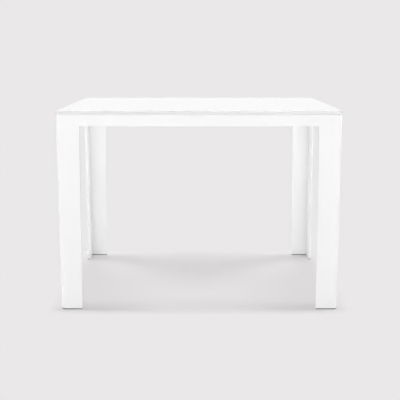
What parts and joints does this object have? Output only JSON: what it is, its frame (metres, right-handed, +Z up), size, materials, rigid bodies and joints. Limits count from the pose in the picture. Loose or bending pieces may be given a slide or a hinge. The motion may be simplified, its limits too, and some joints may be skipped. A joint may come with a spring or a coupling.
{
  "type": "parsons dining table",
  "caption": "Rectangular parsons dining table: white back-painted glass top on a slim white metal apron, with tapering open angle legs flush at the corners.",
  "frame": {"origin": "on the floor, under the centre of the table top", "axes": "+X along the table's length, +Y from the front to the back, +Z up; the front long side is at -Y"},
  "size_m": [1.055, 0.7, 0.76],
  "materials": {
    "white_glass": "clear float glass, painted white on the back, with polished arrises",
    "white_powder_coat": "satin white powder coat on metal",
    "black_cap": "moulded black plastic",
    "plated_steel": "zinc-plated sheet steel",
    "fastener_steel": "zinc-plated steel fasteners",
    "stainless_plate": "stainless steel plate",
    "clear_pad": "translucent soft plastic"
  },
  "bodies": {
    "root": {"glass_top": "white_glass", "rail_front": "white_powder_coat", "rail_right": "white_powder_coat", "rail_back": "white_powder_coat", "rail_left": "white_powder_coat", "leg_front_left": "white_powder_coat", "foot_cap_front_left": "black_cap", "corner_bracket_front_left": "plated_steel", "leg_front_right": "white_powder_coat", "foot_cap_front_right": "black_cap", "corner_bracket_front_right": "plated_steel", "leg_back_right": "white_powder_coat", "foot_cap_back_right": "black_cap", "corner_bracket_back_right": "plated_steel", "leg_back_left": "white_powder_coat", "foot_cap_back_left": "black_cap", "corner_bracket_back_left": "plated_steel", "bracket_bolts": "fastener_steel", "glass_stud_plates": "stainless_plate", "stud_washers": "fastener_steel", "stud_nuts": "fastener_steel", "glass_pads": "clear_pad"}
  },
  "joints": []
}
